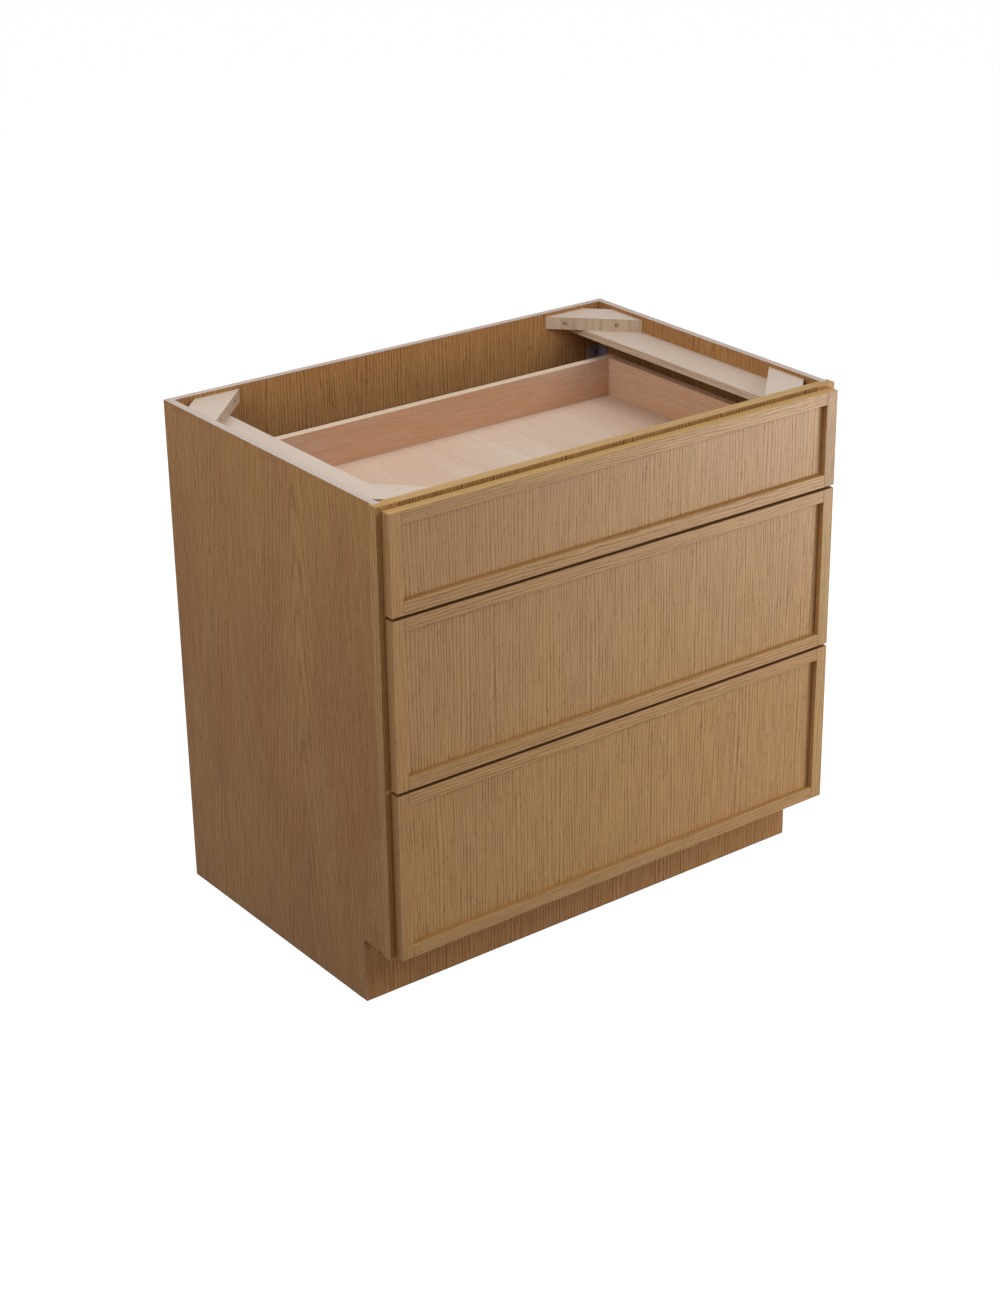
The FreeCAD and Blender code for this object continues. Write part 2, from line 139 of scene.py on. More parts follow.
def ramp(tree, share, low, high):
    """Stretches the part of a value between low and high to 0 to 1, with soft ends."""
    return add(tree, "MapRange", {"interpolation_type": "SMOOTHSTEP"},
               Value=share, From_Min=low, From_Max=high).outputs[0]


def object_place(tree):
    """Object coordinates: metres from the object's own origin."""
    return add(tree, "TexCoord").outputs["Object"]


def new_group(name, inputs, outputs):
    """A node group with named sockets. Each input is (name, kind, value)."""
    group = bpy.data.node_groups.new(name, "ShaderNodeTree")
    for label, kind, value in inputs:
        socket = group.interface.new_socket(
            name=label, in_out="INPUT", socket_type="NodeSocket" + kind)
        if value is not None:
            socket.default_value = value
    for label, kind in outputs:
        group.interface.new_socket(
            name=label, in_out="OUTPUT", socket_type="NodeSocket" + kind)
    given = group.nodes.new("NodeGroupInput").outputs
    result = group.nodes.new("NodeGroupOutput").inputs
    return group, given, result


print("helpers ready")

# %% [markdown]
# ## Wood grain
#
# All the woods here are one idea with different values. The group takes a place in which Z runs
# along the grain, X across it and Y through the board. Oak that is cut on the slant shows its
# yearly rings as nearly even upright lines, so the group counts rings across the board, and a
# slow noise makes them crowd and spread. Each line fades in and out along its length, fine noise
# frays it, and short dashes are the open pores. Where a log is cut flat the rings meet the face
# as tall arches, which is a set of nested cones cut by the board. It could be painted as an image
# instead, but then every board would show the same one.


# %% Helpers: noise along the grain
def scaled(tree, place, factors):
    """A place stretched by three factors, which may be values or numbers."""
    factors = add(tree, "CombineXYZ", X=factors[0], Y=factors[1], Z=factors[2]).outputs[0]
    return add(tree, "VectorMath", {"operation": "MULTIPLY"}, i0=place, i1=factors).outputs[0]


def noise(tree, place, detail=2.0, roughness=0.5, output="Fac"):
    """Noise at a place that is scaled already."""
    made = add(tree, "TexNoise", Vector=place, Scale=1.0, Detail=detail, Roughness=roughness)
    return made.outputs[output]


def wander(tree, place, factors, reach):
    """Shifts a place sideways by a slow noise, so that lines don't run dead straight."""
    shift = noise(tree, scaled(tree, place, factors), output="Color")
    shift = add(tree, "VectorMath", {"operation": "SUBTRACT"}, i0=shift, i1=(0.5, 0.5, 0.5))
    shift = scaled(tree, shift.outputs[0], (reach, reach, 0.0))
    return add(tree, "VectorMath", {"operation": "ADD"}, i0=place, i1=shift).outputs[0]


def stretched(tree, place, across, along, detail=2.0, roughness=0.5):
    """Noise that is fine across the grain and long along it."""
    return noise(tree, scaled(tree, place, (across, across, along)), detail, roughness)


print("noise helpers ready")

# %% Group: wood grain
# Three sizes of bend: how many per metre across and along, and how far they reach in metres. The
# reach of the waves belongs to each kind of wood.
BENDS, BEND_REACH = (4.0, 4.0, 1.3), 0.018
WAVES = (50.0, 50.0, 12.0)
FRAYS, FRAY_REACH = (350.0, 350.0, 90.0), 0.0011
# The rings of a board cut on the slant.
SLANT = 0.8
CROWDING = 6.0
LINE_EDGE = (0.24, 0.48)
FADING = 0.55
# The arches of a board cut flat: their blunt tip in metres, and how many rings per metre rise.
ARCH_TIP = 0.03
ARCH_WIDTH = 0.62
ARCH_RISE = 9.0
ARCH_CROWDING = 5.0
ARCH_EDGE = (0.14, 0.48)
# The fine lines between the rings, and the pores, which are denser inside the lines.
FINE_SHARE = 0.28
PORES_IN_LINES = 0.75
# What the pores and lines do to the lacquer's sheen and to the surface.
LACQUER_ROUGHNESS, PORE_ROUGHNESS = 0.44, 0.25
PORE_DEPTH, LINE_DEPTH = 0.8, 0.2

grain, given, result = new_group(
    "wood grain",
    [("Place", "Vector", None), ("Rings", "Float", None), ("Wave", "Float", None),
     ("Contrast", "Float", None), ("Pores", "Float", None), ("Arches", "Float", None),
     ("Arch Place", "Float", None), ("Tint", "Float", None), ("Pale", "Color", None),
     ("Deep", "Color", None), ("Pore", "Color", None), ("Warm", "Color", None)],
    [("Color", "Color"), ("Roughness", "Float"), ("Height", "Float")])

rings = given["Rings"]
fibres = wander(grain, given["Place"], BENDS, BEND_REACH)
fibres = wander(grain, fibres, WAVES, given["Wave"])
frayed = wander(grain, fibres, FRAYS, FRAY_REACH)
bands = stretched(grain, fibres, 17.0, 0.9)
patches = stretched(grain, fibres, 9.0, 2.2)

# the yearly rings of a board cut on the slant
split = add(grain, "SeparateXYZ", Vector=frayed)
slant = plus(grain, split.outputs[0], times(grain, split.outputs[1], SLANT))
ring_count = plus(grain, times(grain, slant, rings), times(grain, bands, CROWDING))
ring_lines = ramp(grain, maths(grain, "PINGPONG", ring_count, 0.5), *LINE_EDGE)
fading = ramp(grain, stretched(grain, fibres, times(grain, rings, 0.5), 9.0), 0.36, 0.62)
fading = plus(grain, times(grain, fading, FADING), 1.0 - FADING)
ring_lines = times(grain, ring_lines, fading)

# nested cones cut by the board: arches that point up the grain
across = minus(grain, split.outputs[0], given["Arch Place"])
radius = maths(grain, "SQRT", plus(grain, times(grain, across, across), ARCH_TIP ** 2))
cones = plus(grain, times(grain, radius, times(grain, rings, ARCH_WIDTH)),
             times(grain, split.outputs[2], ARCH_RISE))
cones = plus(grain, cones, times(grain, bands, ARCH_CROWDING))
arch_lines = ramp(grain, maths(grain, "PINGPONG", cones, 0.5), *ARCH_EDGE)

figure = blend_values(grain, given["Arches"], ring_lines, arch_lines)
fine_lines = stretched(grain, frayed, times(grain, rings, 2.3), 15.0, roughness=0.6)
fine_lines = ramp(grain, fine_lines, 0.40, 0.64)
figure = plus(grain, times(grain, figure, 1.0 - FINE_SHARE), times(grain, fine_lines, FINE_SHARE))
dashes = stretched(grain, frayed, times(grain, rings, 5.0), 75.0, roughness=0.6)
dashes = ramp(grain, dashes, 0.52, 0.68)
pore_mask = plus(grain, times(grain, figure, PORES_IN_LINES), 1.0 - PORES_IN_LINES)
pore_mask = times(grain, dashes, pore_mask)
pore_mask = maths(grain, "MULTIPLY", pore_mask, given["Pores"], clamp=True)

warm_share = times(grain, ramp(grain, patches, 0.38, 0.62), given["Tint"])
wood_colour = blend_colours(grain, warm_share, given["Pale"], given["Warm"])
deep_share = times(grain, figure, given["Contrast"])
wood_colour = blend_colours(grain, deep_share, wood_colour, given["Deep"])
wood_colour = blend_colours(grain, pore_mask, wood_colour, given["Pore"])
roughness = plus(grain, LACQUER_ROUGHNESS, times(grain, pore_mask, PORE_ROUGHNESS))
depth = plus(grain, times(grain, pore_mask, PORE_DEPTH), times(grain, figure, LINE_DEPTH))
grain.links.new(wood_colour, result["Color"])
grain.links.new(roughness, result["Roughness"])
grain.links.new(minus(grain, 1.0, depth), result["Height"])
print("wood grain group:", len(grain.nodes), "nodes")

# %% [markdown]
# ## The cut edge of plywood
#
# Half-inch plywood shows its layers wherever it is cut: pale sheets with thin grey glue lines
# between them. The group takes the distance through the board, in metres, and draws one glue line
# every layer. A little noise along the edge makes the layers uneven, as sawn edges are.

# %% Group: plywood edge
SAW_WOBBLE = 0.0004
GLUE_LINE = (0.03, 0.24)
GLUE_STRENGTH = 0.5
END_GRAIN = (260.0, 260.0, 260.0)
END_GRAIN_STRENGTH = 0.22

ply_edge, given, result = new_group(
    "plywood edge",
    [("Through", "Float", None), ("Place", "Vector", None), ("Layer", "Float", 0.00424),
     ("Sheet", "Color", paint(205, 190, 181)), ("Cross Sheet", "Color", paint(197, 182, 173)),
     ("Glue", "Color", paint(110, 100, 102))],
    [("Color", "Color"), ("Roughness", "Float"), ("Height", "Float")])

wobble = add(ply_edge, "TexNoise", Vector=given["Place"], Scale=40.0, Detail=2.0).outputs[0]
wobble = times(ply_edge, minus(ply_edge, wobble, 0.5), SAW_WOBBLE)
layer = maths(ply_edge, "DIVIDE", plus(ply_edge, given["Through"], wobble), given["Layer"])
in_layer = maths(ply_edge, "PINGPONG", layer, 0.5)
every_other = maths(ply_edge, "PINGPONG", times(ply_edge, layer, 0.5), 0.5)
glue_line = minus(ply_edge, 1.0, ramp(ply_edge, in_layer, *GLUE_LINE))
fibre_ends = noise(ply_edge, scaled(ply_edge, given["Place"], END_GRAIN), 3.0, 0.6)
end_share = times(ply_edge, ramp(ply_edge, fibre_ends, 0.4, 0.7), END_GRAIN_STRENGTH)
edge_colour = blend_colours(
    ply_edge, ramp(ply_edge, every_other, 0.2, 0.3), given["Sheet"], given["Cross Sheet"])
edge_colour = blend_colours(ply_edge, end_share, edge_colour, given["Glue"])
edge_colour = blend_colours(
    ply_edge, times(ply_edge, glue_line, GLUE_STRENGTH), edge_colour, given["Glue"])
ply_edge.links.new(edge_colour, result["Color"])
ply_edge.links.new(plus(ply_edge, 0.6, times(ply_edge, fibre_ends, 0.2)), result["Roughness"])
ply_edge.links.new(minus(ply_edge, 1.0, glue_line), result["Height"])
print("plywood edge group:", len(ply_edge.nodes), "nodes")

# %% [markdown]
# ## A board's own place
#
# Each board is cut from another spot of the log, and its grain runs along its own length. Object
# coordinates are turned so that Z follows the grain and Y goes through the board, and shifted by
# an amount that belongs to the board, so no two boards show the same figure.

# %% Helpers: where a board's grain runs
quarter = math.radians(90)
TURNS = {
    "z, face y": (0.0, 0.0, 0.0),
    "z, face x": (0.0, 0.0, quarter),
    "x, face y": (0.0, -quarter, 0.0),
    "x, face z": (-quarter, -quarter, 0.0),
    "y, face z": (quarter, 0.0, 0.0),
    "y, face x": (quarter, 0.0, quarter),
}


def spot(number):
    """The piece of the log that a board is cut from."""
    return (0.37 * number + 0.11, 0.53 * number + 0.07, 0.29 * number + 0.05)


def board_place(tree, along, number):
    """Object coordinates with Z along the grain, shifted to the board's own spot."""
    mapping = add(tree, "Mapping", Vector=object_place(tree), Location=spot(number),
                  Rotation=TURNS[along])
    return mapping.outputs[0]


def wood_group(tree, along, number, look, arch_place=0.0):
    """The grain group with the values of one kind of wood, on one board."""
    made = add(tree, "Group", {"node_tree": grain}, Place=board_place(tree, along, number))
    for label, value in look.items():
        made.inputs[label].default_value = value
    made.inputs["Arch Place"].default_value = spot(number)[0] + arch_place
    return made


def start_material(name):
    """A new material, its node tree and the Principled shader on its output."""
    material = bpy.data.materials.new(name)
    material.use_nodes = True
    tree = material.node_tree
    return material, tree, tree.nodes["Principled BSDF"]


def dress(node_name, material):
    """Puts one material on a node's only slot."""
    slots = nodes[node_name].data.materials
    slots.clear()
    slots.append(material)


print("board helpers ready")

# %% [markdown]
# ## The woods
#
# The outside is oak under a satin lacquer. Panels are veneered with the grain upright; the rails
# of frames run sideways. The corner blocks and side rails are pale maple, and the drawer boxes
# are a reddish wood with a plywood bottom. Most colours are those of the bare board and the lights
# do the rest; a few carry painted light and shade, as said where they stand.

# %% Values: the woods
OAK_PANEL = {
    "Rings": 163.0, "Wave": 0.0010, "Contrast": 0.95, "Pores": 0.95, "Tint": 0.6,
    "Pale": paint(186, 144, 93), "Warm": paint(181, 138, 95),
    "Deep": paint(130, 88, 33), "Pore": paint(102, 62, 16)}
OAK_BACK = dict(
    OAK_PANEL, Contrast=0.85, Pale=paint(193, 147, 98), Warm=paint(187, 139, 94))
OAK_HIGH = dict(OAK_PANEL, Contrast=0.85, Pores=0.85, Pale=paint(184, 143, 93))
OAK_LOW = dict(OAK_PANEL, Pale=paint(186, 143, 90), Warm=paint(182, 138, 92))
OAK_TOE = dict(
    OAK_PANEL, Pale=paint(187, 140, 94), Warm=paint(181, 133, 95), Deep=paint(130, 85, 36))
OAK_SIDE = dict(
    OAK_PANEL, Rings=215.0, Contrast=0.90, Pores=0.90, Arches=0.35, Tint=0.9,
    Pale=paint(197, 150, 97), Warm=paint(188, 137, 91),
    Deep=paint(124, 80, 33), Pore=paint(100, 60, 20))
OAK_RAIL = dict(OAK_PANEL, Rings=185.0, Wave=0.0060, Contrast=1.0, Pores=0.60, Tint=0.4)
OAK_STILE = dict(
    OAK_PANEL, Rings=230.0, Wave=0.0022, Pores=0.75, Tint=0.4,
    Pale=paint(184, 142, 91), Deep=paint(136, 94, 44))
# Paler oak for the face frame's stiles: painted light on their front strips, which sit in the
# fronts' shade.
OAK_FRAME_PAINTED_LIGHT = dict(OAK_STILE, Pale=paint(198, 156, 104), Warm=paint(196, 150, 102))
OAK_EDGE = dict(
    OAK_RAIL, Rings=160.0, Contrast=0.45, Tint=0.3,
    Pale=paint(176, 140, 82), Warm=paint(172, 135, 80))
# Darker oak for the top rail's face: painted shade on the narrow strip seen above the top front.
OAK_IN_PAINTED_SHADE = dict(
    OAK_PANEL, Rings=175.0, Wave=0.0012, Contrast=1.0, Pores=0.8,
    Pale=paint(178, 134, 80), Warm=paint(162, 118, 70),
    Deep=paint(84, 54, 28), Pore=paint(64, 40, 20))
MAPLE = {
    "Rings": 110.0, "Wave": 0.002, "Contrast": 0.40, "Pores": 0.12, "Tint": 0.6,
    "Pale": paint(196, 181, 168), "Warm": paint(191, 172, 155),
    "Deep": paint(182, 163, 147), "Pore": paint(150, 130, 112)}
# A little darker maple for the corner blocks' tops: painted shade.
MAPLE_BLOCK_TOP_SHADE = dict(
    MAPLE, Pale=paint(194, 178, 163), Warm=paint(189, 170, 153), Deep=paint(178, 160, 143))
SAWN_MAPLE = {
    "Rings": 120.0, "Wave": 0.004, "Contrast": 0.95, "Pores": 0.45, "Tint": 0.7,
    "Pale": paint(208, 186, 165), "Warm": paint(195, 171, 148),
    "Deep": paint(180, 154, 126), "Pore": paint(156, 127, 103)}
DRAWER_WOOD = {
    "Rings": 260.0, "Wave": 0.0030, "Contrast": 1.0, "Pores": 0.30, "Tint": 0.75,
    "Pale": paint(203, 177, 160), "Warm": paint(206, 162, 128),
    "Deep": paint(186, 128, 84), "Pore": paint(156, 108, 78)}
DRAWER_SIDE = dict(
    DRAWER_WOOD, Pale=paint(209, 180, 158), Warm=paint(213, 165, 126), Deep=paint(192, 131, 82))
DRAWER_EDGE = dict(
    DRAWER_WOOD, Contrast=0.25, Pores=0.15, Tint=0.4,
    Pale=paint(214, 194, 174), Warm=paint(210, 187, 165), Deep=paint(196, 170, 146))
DRAWER_PLY = {
    "Rings": 60.0, "Wave": 0.006, "Contrast": 0.45, "Pores": 0.28, "Tint": 0.9,
    "Pale": paint(207, 190, 174), "Warm": paint(203, 176, 156),
    "Deep": paint(194, 165, 141), "Pore": paint(168, 136, 112)}
print("woods: oak, maple and drawer wood")

# %% Helpers: lacquered boards
# How strongly the lacquer mirrors the lamps: on most boards, on the stiles and the carcass's
# outer panels, and on the drawer fronts.
SATIN = 0.2
MATT = 0.08
FRONT_SHEEN = 0.38
# The pores' depth in metres, and how much of it the shading shows.
PORE_METRES = 0.00025
PORE_SHADING = 0.35
# The strip along the floor that is darker, in metres up from it.
FOOT_STRIP = (0.0010, 0.0028)
FOOT_TONE = paint(120, 80, 40)
FOOT_TONE_SHARE = 0.6


def finish_board(tree, shader, colour, roughness, height, sheen=SATIN):
    """Feeds a board's colour, sheen and pores to its shader."""
    bump = add(tree, "Bump", Strength=PORE_SHADING, Distance=PORE_METRES, Height=height)
    tree.links.new(colour, shader.inputs["Base Color"])
    tree.links.new(roughness, shader.inputs["Roughness"])
    tree.links.new(bump.outputs[0], shader.inputs["Normal"])
    shader.inputs["Specular IOR Level"].default_value = sheen


def face_mask(tree, axis):
    """1 on the faces that look along an axis, 0 on the others."""
    normal = add(tree, "SeparateXYZ", Vector=add(tree, "TexCoord").outputs["Normal"])
    along_axis = maths(tree, "ABSOLUTE", normal.outputs["xyz".index(axis)])
    return ramp(tree, along_axis, 0.6, 0.8)


def choose(tree, mask, first, second):
    """Colour, roughness and height of one finish where the mask is 0, of another where it is 1."""
    colour = blend_colours(tree, mask, first.outputs["Color"], second.outputs["Color"])
    roughness, height = [
        blend_values(tree, mask, first.outputs[label], second.outputs[label])
        for label in ("Roughness", "Height")]
    return colour, roughness, height


def solid_board(name, along, number, look, sheen=SATIN):
    """A board of solid wood, or veneered all round."""
    material, tree, shader = start_material(name)
    wood = wood_group(tree, along, number, look).outputs
    finish_board(tree, shader, wood["Color"], wood["Roughness"], wood["Height"], sheen)
    return material


def two_faced_board(name, number, face, edge, axis, sheen=SATIN):
    """A board with one grain on most faces and another on those that look along an axis."""
    material, tree, shader = start_material(name)
    on_face = wood_group(tree, face[0], number, face[1])
    on_edge = wood_group(tree, edge[0], number + 0.5, edge[1])
    finish_board(tree, shader, *choose(tree, face_mask(tree, axis), on_face, on_edge), sheen)
    return material


def veneered_ply(name, along, number, look, faces, start, banded="", arch_place=0.0,
                 sheen=SATIN):
    """Plywood: veneer on the faces that look along an axis, layers on the other cut edges.

    start is where the board begins along that axis. Edges along a banded axis have veneer too.
    """
    material, tree, shader = start_material(name)
    wood = wood_group(tree, along, number, look, arch_place)
    place = object_place(tree)
    split = add(tree, "SeparateXYZ", Vector=place)
    edge = add(tree, "Group", {"node_tree": ply_edge}, Place=place,
               Through=minus(tree, split.outputs["xyz".index(faces)], start))
    mask = face_mask(tree, faces)
    for axis in banded:
        mask = maths(tree, "MAXIMUM", mask, face_mask(tree, axis))
    colour, roughness, height = choose(tree, mask, edge, wood)
    at_foot = minus(tree, 1.0, ramp(tree, split.outputs[2], *FOOT_STRIP))
    colour = blend_colours(tree, times(tree, at_foot, FOOT_TONE_SHARE), colour, FOOT_TONE)
    finish_board(tree, shader, colour, roughness, height, sheen)
    return material


print("board finishes ready")

# %% [markdown]
# ## The carcass
#
# The sides, the back, the bottom and the toe board are veneered plywood. The sides' veneer faces
# left and right, the back's faces front and rear, and each has its layers on its other faces.

# %% Carcass: plywood panels
side_low, side_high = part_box("side_panel_right")
back_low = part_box("back_panel")[0]
floor_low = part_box("bottom_panel")[0]
toe_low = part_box("toe_kick")[0]
dress("side_panel_right", veneered_ply(
    "oak side right", "z, face x", 1, OAK_SIDE, "x", side_low.x, sheen=MATT))
dress("side_panel_left", veneered_ply(
    "oak side left", "z, face x", 2, OAK_SIDE, "x", -side_high.x, arch_place=0.06, sheen=MATT))
dress("back_panel", veneered_ply(
    "oak back", "z, face y", 3, OAK_BACK, "y", back_low.y, sheen=MATT))
dress("bottom_panel", veneered_ply(
    "oak bottom", "x, face z", 4, OAK_SIDE, "z", floor_low.z))
dress("toe_kick", veneered_ply(
    "oak toe board", "z, face y", 5, OAK_TOE, "y", toe_low.y, banded="x", sheen=MATT))
print("plywood thickness:", round(side_high.x - side_low.x, 4))

# %% Carcass: face frame, corner blocks and side rails
# The stiles are painted paler, as light on the strips beside the fronts.
for number, name in enumerate(("stile_left", "stile_right")):
    dress(name, two_faced_board(
        "oak " + name, 6 + number, ("z, face y", OAK_FRAME_PAINTED_LIGHT), ("x, face z", OAK_EDGE), "z", MATT))
for number, name in enumerate(("upper_mid_rail", "lower_mid_rail", "bottom_rail")):
    dress(name, solid_board("oak " + name, "x, face y", 8 + number, OAK_RAIL))
# The top rail's face is painted dark, as shade above the top front; its other faces have the
# golden edge oak.
dress("top_rail", two_faced_board(
    "oak top_rail", 11, ("x, face z", OAK_EDGE), ("z, face y", OAK_IN_PAINTED_SHADE), "y"))
# The blocks' tops get the darker maple, which is painted shade.
for number, corner in enumerate(("front_left", "front_right", "rear_left", "rear_right")):
    dress("corner_block_" + corner, two_faced_board(
        "maple corner_block_" + corner, 12 + number,
        ("z, face y", SAWN_MAPLE), ("x, face z", MAPLE_BLOCK_TOP_SHADE), "z"))
for number, name in enumerate(("side_rail_left", "side_rail_right")):
    dress(name, two_faced_board(
        "maple " + name, 16 + number, ("y, face x", SAWN_MAPLE), ("y, face z", MAPLE), "z"))
print("frame, blocks and rails dressed")

# %% [markdown]
# ## The drawer fronts
#
# Each front is a slim frame round a flat panel. Its stiles run from top to bottom with upright
# grain, and the rails between them have sideways grain. All four boards are one node, so the
# material asks how far a point is from the middle of the front and picks the grain's direction by
# that. Each stile's colour is also multiplied up or down: painted light and shade for how the
# lamps fall on it. The edges are toned too: the top front's upper edge is golden; those of the
# other two are painted dark, as shade in the gaps; the ledges round a panel are warmer and a
# little darker, partly painted shade; and the stiles' inner sides are painted pale, as light in
# the recess, while their outer sides are painted darker, as shade.

# %% Helper: a front's frame
# Metres round a joint or an edge within which a point still belongs to it.
JOINT_MARGIN = 0.0005
EDGE_MARGIN = 0.002
# The stiles' sides: painted shade on the outer ones, painted light on the inner ones in the
# panel's recess.
OUTER_SIDE_SHADE, OUTER_SHADE_SHARE = paint(128, 90, 54), 0.2
INNER_SIDE_LIGHT, INNER_LIGHT_SHARE = paint(226, 176, 122), 0.75
# Level faces below a front's top: a warmer, slightly darker oak, partly painted shade on the
# ledges.
LEDGE_TONE_AND_SHADE, LEVEL_SHARE = paint(178, 136, 82), 0.7


def front_frame_material(name, number, stile_starts, frame_top, top_edge, light_and_shade_factors):
    """Upright grain on the stiles, sideways on the rails, painted light and shade on stiles and
    edges.
    """
    material, tree, shader = start_material(name)
    upright = wood_group(tree, "z, face y", number, OAK_STILE)
    sideways = wood_group(tree, "x, face y", number + 0.5, OAK_RAIL)
    place = add(tree, "SeparateXYZ", Vector=object_place(tree))
    from_middle = maths(tree, "ABSOLUTE", place.outputs[0])
    in_stile = maths(tree, "GREATER_THAN", from_middle, stile_starts - JOINT_MARGIN)
    colour, roughness, height = choose(tree, in_stile, sideways, upright)

    # Each stile's colour multiplied lighter or darker: painted light and shade.
    at_right = maths(tree, "GREATER_THAN", place.outputs[0], 0.0)
    stile_light_and_shade_colour = blend_colours(tree, at_right, *[(*tone, 1.0) for tone in light_and_shade_factors])
    colour = blend_colours(tree, in_stile, colour, stile_light_and_shade_colour, "MULTIPLY")

    # Painted light on the stiles' inner sides, painted shade on their outer sides.
    at_inner_edge = maths(tree, "LESS_THAN", from_middle, stile_starts + EDGE_MARGIN)
    side_light_and_shade = blend_colours(tree, at_inner_edge, OUTER_SIDE_SHADE, INNER_SIDE_LIGHT)
    side_light_and_shade_share = blend_values(tree, at_inner_edge, OUTER_SHADE_SHARE, INNER_LIGHT_SHARE)
    side_light_and_shade_share = times(tree, face_mask(tree, "x"), side_light_and_shade_share)
    colour = blend_colours(tree, side_light_and_shade_share, colour, side_light_and_shade)

    # Level faces: the top front's upper edge golden, the other fronts' upper edges painted dark as
    # shade in the gaps.
    at_top = maths(tree, "GREATER_THAN", place.outputs[2], frame_top - EDGE_MARGIN)
    level_tone_and_shade = blend_colours(tree, at_top, LEDGE_TONE_AND_SHADE, top_edge)
    level_share = times(tree, face_mask(tree, "z"), LEVEL_SHARE)
    colour = blend_colours(tree, level_share, colour, level_tone_and_shade)
    finish_board(tree, shader, colour, roughness, height, FRONT_SHEEN)
    return material


print("front frames ready")

# %% Drawers: fronts and boxes
drawers = ("top", "middle", "bottom")
FRONT_MEMBER = 0.0220
GOLDEN_EDGE = paint(170, 136, 80)
# The middle and bottom fronts' upper edges are painted dark, as shade deep in the gaps.
GAP_SHADE_EDGE = paint(92, 54, 28)
top_edge_tones_and_gap_shade = {"top": GOLDEN_EDGE, "middle": GAP_SHADE_EDGE, "bottom": GAP_SHADE_EDGE}
panel_looks = {"top": OAK_HIGH, "middle": OAK_PANEL, "bottom": OAK_LOW}
# For each front, what the left and right stiles' colours are multiplied by: painted light and
# shade.
stile_light_and_shade = {
    "top": ((1.12, 1.10, 1.07), (0.87, 0.91, 0.97)),
    "middle": ((1.07, 1.04, 1.03), (0.97, 1.02, 1.0)),
    "bottom": ((1.01, 0.97, 0.95), (1.06, 1.12, 1.13)),
}
for number, drawer in enumerate(drawers):
    frame_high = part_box(drawer + "_front_frame")[1]
    dress(drawer + "_front_frame", front_frame_material(
        "oak front frame " + drawer, 20 + number, frame_high.x - FRONT_MEMBER, frame_high.z,
        top_edge_tones_and_gap_shade[drawer], stile_light_and_shade[drawer]))
    dress(drawer + "_front_panel", solid_board(
        "oak front panel " + drawer, "z, face y", 24 + number, panel_looks[drawer], FRONT_SHEEN))
    for turn, piece in enumerate(("_box_front", "_box_back")):
        dress(drawer + piece, two_faced_board(
            "drawer wood " + drawer + piece, 30 + 4 * number + turn,
            ("x, face y", DRAWER_WOOD), ("x, face z", DRAWER_EDGE), "z"))
    # The sides keep their darker face wood on their top edges too: painted shade under the side
    # rails.
    for turn, piece in enumerate(("_box_side_left", "_box_side_right")):
        dress(drawer + piece, solid_board(
            "drawer wood " + drawer + piece, "y, face x", 32 + 4 * number + turn, DRAWER_SIDE))
    dress(drawer + "_box_bottom", solid_board(
        "drawer bottom " + drawer, "y, face z", 44 + number, DRAWER_PLY))
print("drawers dressed")

# %% [markdown]
# ## Steel and plastic
#
# The runners, brackets and screws are zinc-plated steel: grey, with faint drawing marks and cloudy
# patches. The carcass's screws are painted dark brown, as shade deep in their holes, and those
# that sit in the corner blocks are paler than the rest. The clips and levers are moulded plastic
# with a fine spark-eroded texture.


# %% Helpers: metal and plastic
def plated_steel(name, along, tone, cloud, rough, metal=0.85, above=None):
    """Zinc plate: metal with cloudy patches and faint drawing marks.

    above is a height and the tone that everything over it has.
    """
    material, tree, shader = start_material(name)
    place = board_place(tree, along, 0.2)
    marks = stretched(tree, place, 900.0, 30.0)
    clouds = add(tree, "TexNoise", Vector=place, Scale=45.0, Detail=4.0).outputs[0]
    colour = blend_colours(tree, ramp(tree, clouds, 0.35, 0.65), tone, cloud)
    if above:
        height = add(tree, "SeparateXYZ", Vector=object_place(tree)).outputs[2]
        is_above = maths(tree, "GREATER_THAN", height, above[0])
        colour = blend_colours(tree, is_above, colour, above[1])
    tree.links.new(colour, shader.inputs["Base Color"])
    shader.inputs["Metallic"].default_value = metal
    tree.links.new(plus(tree, rough, times(tree, marks, 0.18)), shader.inputs["Roughness"])
    bump = add(tree, "Bump", Strength=0.12, Distance=0.0001, Height=marks)
    tree.links.new(bump.outputs[0], shader.inputs["Normal"])
    return material


def moulded_plastic(name, tone, shade):
    """Matt plastic with a fine mould texture."""
    material, tree, shader = start_material(name)
    place = object_place(tree)
    texture = add(tree, "TexNoise", Vector=place, Scale=2200.0, Detail=2.0).outputs[0]
    clouds = add(tree, "TexNoise", Vector=place, Scale=60.0, Detail=2.0).outputs[0]
    tree.links.new(blend_colours(tree, clouds, tone, shade), shader.inputs["Base Color"])
    tree.links.new(plus(tree, 0.42, times(tree, texture, 0.2)), shader.inputs["Roughness"])
    bump = add(tree, "Bump", Strength=0.2, Distance=0.00005, Height=texture)
    tree.links.new(bump.outputs[0], shader.inputs["Normal"])
    return material


print("metal and plastic ready")

# %% Fittings: steel and plastic
runner_steel = plated_steel(
    "runner steel", "y, face z", paint(196, 198, 202), paint(172, 174, 180), 0.30)
bracket_steel = plated_steel(
    "bracket steel", "z, face y", paint(158, 150, 156), paint(138, 130, 138), 0.42, metal=0.3)
screw_steel = plated_steel(
    "screw steel", "z, face y", paint(206, 200, 184), paint(178, 172, 156), 0.28)
